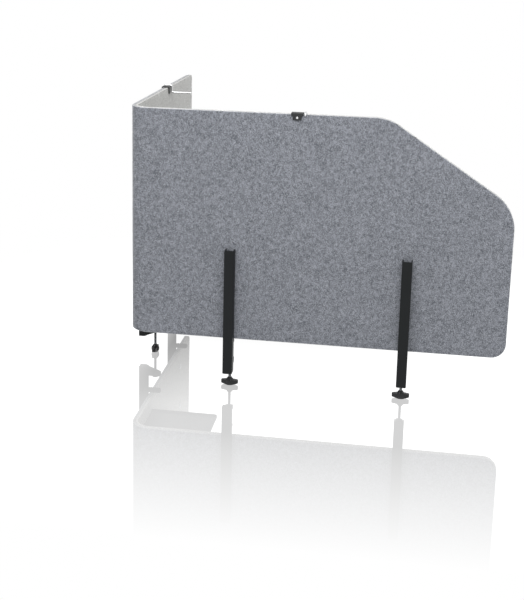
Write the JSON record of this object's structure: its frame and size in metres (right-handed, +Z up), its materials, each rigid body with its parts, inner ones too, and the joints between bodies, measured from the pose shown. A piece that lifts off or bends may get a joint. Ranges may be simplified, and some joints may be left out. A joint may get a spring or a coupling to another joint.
{
  "type": "acoustic_divider_screen",
  "caption": "Corner desk screen of moulded grey felt on four black channel bars, each ending in a winged desk-edge clamp, with edge clips and a corner plate",
  "frame": {"origin": "middle of the footprint on the floor, under the four knobs", "axes": "+X along the front wing away from the corner, +Y along the side wing away from the corner, +Z up"},
  "size_m": [0.8196, 0.6194, 0.6071],
  "materials": {
    "outer_felt": "needled polyester felt, mottled mid grey",
    "inner_felt": "needled polyester felt, pale grey",
    "black_coat": "fine satin powder coat",
    "grey_coat": "fine satin powder coat",
    "black_plastic": "fine moulded grain",
    "rubber": "matte",
    "dark_steel": "blackened steel, turned",
    "zinc": "zinc plated",
    "bright_steel": "bright nickel plated"
  },
  "bodies": {
    "screen": {"outer_felt": "outer_felt", "inner_felt": "inner_felt", "channel_bar_front_1": "black_coat", "mounting_strip_front_1": "zinc", "upper_jaw_front_1": "black_coat", "jaw_rubber_front_1": "rubber", "lower_arm_front_1": "black_coat", "thread_bush_front_1": "zinc", "felt_screw_front_1_a": "zinc", "felt_screw_front_1_b": "zinc", "channel_bar_front_2": "black_coat", "mounting_strip_front_2": "zinc", "upper_jaw_front_2": "black_coat", "jaw_rubber_front_2": "rubber", "lower_arm_front_2": "black_coat", "thread_bush_front_2": "zinc", "felt_screw_front_2_a": "zinc", "felt_screw_front_2_b": "zinc", "channel_bar_side_1": "black_coat", "mounting_strip_side_1": "zinc", "upper_jaw_side_1": "black_coat", "jaw_rubber_side_1": "rubber", "lower_arm_side_1": "black_coat", "thread_bush_side_1": "zinc", "felt_screw_side_1_a": "zinc", "felt_screw_side_1_b": "zinc", "channel_bar_side_2": "black_coat", "mounting_strip_side_2": "zinc", "upper_jaw_side_2": "black_coat", "jaw_rubber_side_2": "rubber", "lower_arm_side_2": "black_coat", "thread_bush_side_2": "zinc", "felt_screw_side_2_a": "zinc", "felt_screw_side_2_b": "zinc", "saddle_front": "black_coat", "clip_screw_front": "bright_steel", "hook_rod_front": "bright_steel", "saddle_side": "black_coat", "clip_screw_side": "bright_steel", "hook_rod_side": "bright_steel", "corner_plate": "grey_coat", "plate_screw_front_a": "zinc", "plate_screw_front_b": "zinc", "plate_screw_side_a": "zinc", "plate_screw_side_b": "zinc"},
    "screw_front_1": {"spindle_front_1": "dark_steel", "wing_knob_front_1": "black_plastic"},
    "pad_front_1": {"pressure_pad_front_1": "dark_steel"},
    "screw_front_2": {"spindle_front_2": "dark_steel", "wing_knob_front_2": "black_plastic"},
    "pad_front_2": {"pressure_pad_front_2": "dark_steel"},
    "screw_side_1": {"spindle_side_1": "dark_steel", "wing_knob_side_1": "black_plastic"},
    "pad_side_1": {"pressure_pad_side_1": "dark_steel"},
    "screw_side_2": {"spindle_side_2": "dark_steel", "wing_knob_side_2": "black_plastic"},
    "pad_side_2": {"pressure_pad_side_2": "dark_steel"}
  },
  "joints": [
    {"name": "lift_front_1", "type": "slide", "parent": "screen", "child": "pad_front_1", "axis": [0, 0, 1], "range_m": [0, 0.02]},
    {"name": "turn_front_1", "type": "hinge", "parent": "pad_front_1", "child": "screw_front_1", "pos_m": [-0.16775, -0.27225, 0], "axis": [0, 0, 1], "range_deg": [0, 7200]},
    {"name": "lift_front_2", "type": "slide", "parent": "screen", "child": "pad_front_2", "axis": [0, 0, 1], "range_m": [0, 0.02]},
    {"name": "turn_front_2", "type": "hinge", "parent": "pad_front_2", "child": "screw_front_2", "pos_m": [0.20075, -0.27225, 0], "axis": [0, 0, 1], "range_deg": [0, 7200]},
    {"name": "lift_side_1", "type": "slide", "parent": "screen", "child": "pad_side_1", "axis": [0, 0, 1], "range_m": [0, 0.02]},
    {"name": "turn_side_1", "type": "hinge", "parent": "pad_side_1", "child": "screw_side_1", "pos_m": [-0.37225, -0.11225, 0], "axis": [0, 0, 1], "range_deg": [0, 7200]},
    {"name": "lift_side_2", "type": "slide", "parent": "screen", "child": "pad_side_2", "axis": [0, 0, 1], "range_m": [0, 0.02]},
    {"name": "turn_side_2", "type": "hinge", "parent": "pad_side_2", "child": "screw_side_2", "pos_m": [-0.37225, 0.18675, 0], "axis": [0, 0, 1], "range_deg": [0, 7200]}
  ],
  "couplings": [
    {"joint": "turn_front_1", "follows": "lift_front_1", "rad_per_m": 6283.2},
    {"joint": "turn_front_2", "follows": "lift_front_2", "rad_per_m": 6283.2},
    {"joint": "turn_side_1", "follows": "lift_side_1", "rad_per_m": 6283.2},
    {"joint": "turn_side_2", "follows": "lift_side_2", "rad_per_m": 6283.2}
  ]
}
